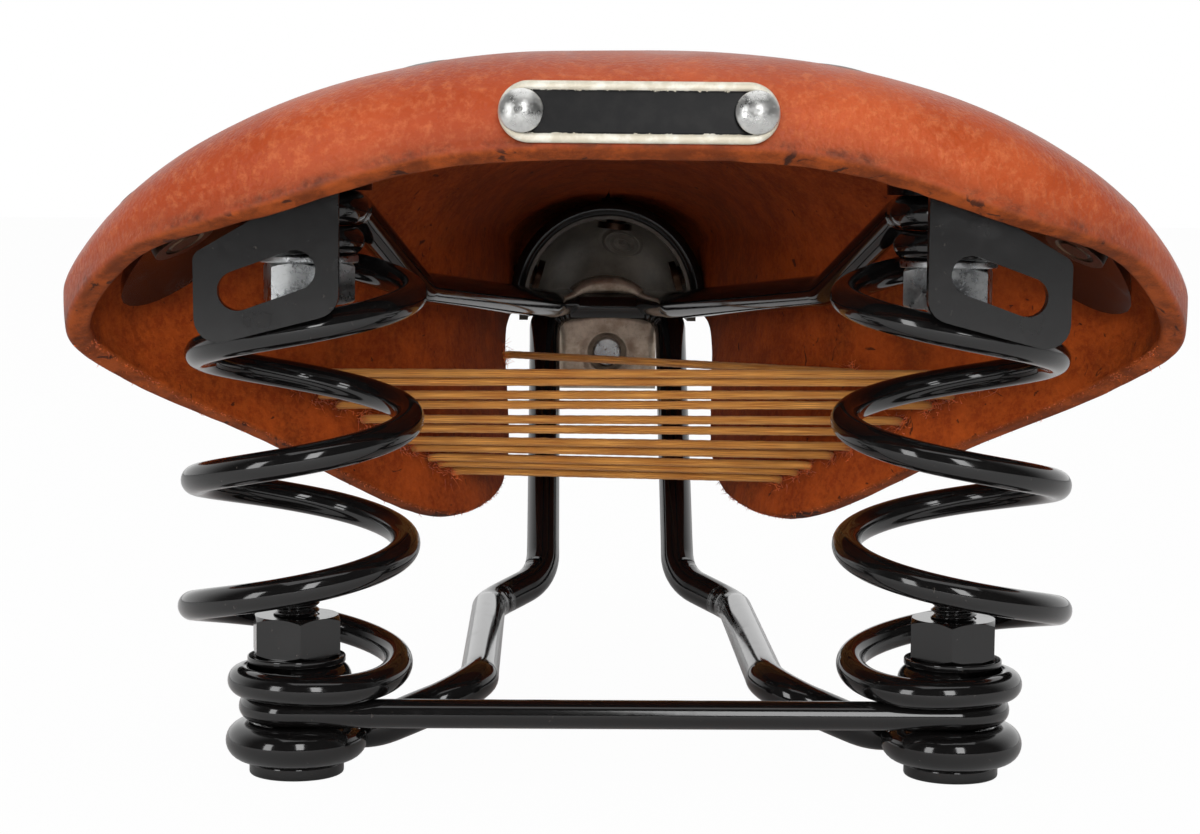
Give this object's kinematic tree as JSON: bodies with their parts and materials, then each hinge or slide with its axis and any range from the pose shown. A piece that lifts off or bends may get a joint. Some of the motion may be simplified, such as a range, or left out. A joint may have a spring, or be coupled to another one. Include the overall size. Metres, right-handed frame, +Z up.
{
  "type": "sprung bicycle saddle",
  "caption": "Sprung leather bicycle saddle: tensioned tan top on black wire rails and rear coil springs, laced skirts, bag loops and a plain rear badge.",
  "frame": {"origin": "middle of the clamp zone: halfway between the two rails' centre lines and halfway along their straight part", "axes": "+Y to the nose, +X to the rider's right, +Z up; the rails' straight part is level and runs along Y"},
  "size_m": [0.1972, 0.243, 0.1249],
  "materials": {
    "black_wire": "gloss",
    "black_plate": "gloss",
    "black_fasteners": "satin",
    "zinc_fasteners": "zinc plated",
    "antique_rivets": "darkened",
    "bright_rivets": "polished",
    "cast_block": "satin",
    "leather": "waxed, semi-matt",
    "badge": "satin rim with a black field",
    "cord": "waxed"
  },
  "bodies": {
    "underframe": {"rail_wire": "black_wire", "cross_wire": "black_wire", "lower_bolts": "black_fasteners", "lower_washers": "black_fasteners", "lower_nuts": "black_fasteners", "spring_left": "black_wire", "spring_right": "black_wire"},
    "saddle_top": {"stay_left": "black_wire", "stay_right": "black_wire", "upper_bolts": "zinc_fasteners", "upper_washers": "zinc_fasteners", "upper_nuts": "zinc_fasteners", "cantle_plate": "black_plate", "leather_top": "leather", "rear_rivets": "antique_rivets", "nose_plate": "black_plate", "nose_rivets": "antique_rivets", "tension_block": "cast_block", "tension_bolt": "zinc_fasteners", "badge_plate": "badge", "badge_rivets": "bright_rivets", "lacing": "cord"},
    "tension_nut": {"tension_nut": "zinc_fasteners"}
  },
  "joints": [
    {"name": "spring_travel", "type": "hinge", "parent": "underframe", "child": "saddle_top", "pos_m": [0, 0.1076, 0.06], "axis": [1, 0, 0], "range_deg": [0, 6.5], "stiffness_Nm_per_rad": 1860, "deforming": ["spring_left", "spring_right"]},
    {"name": "tension_nut_turn", "type": "hinge", "parent": "saddle_top", "child": "tension_nut", "pos_m": [0, 0.122, 0.0495], "axis": [0, 1, 0], "continuous": true}
  ]
}
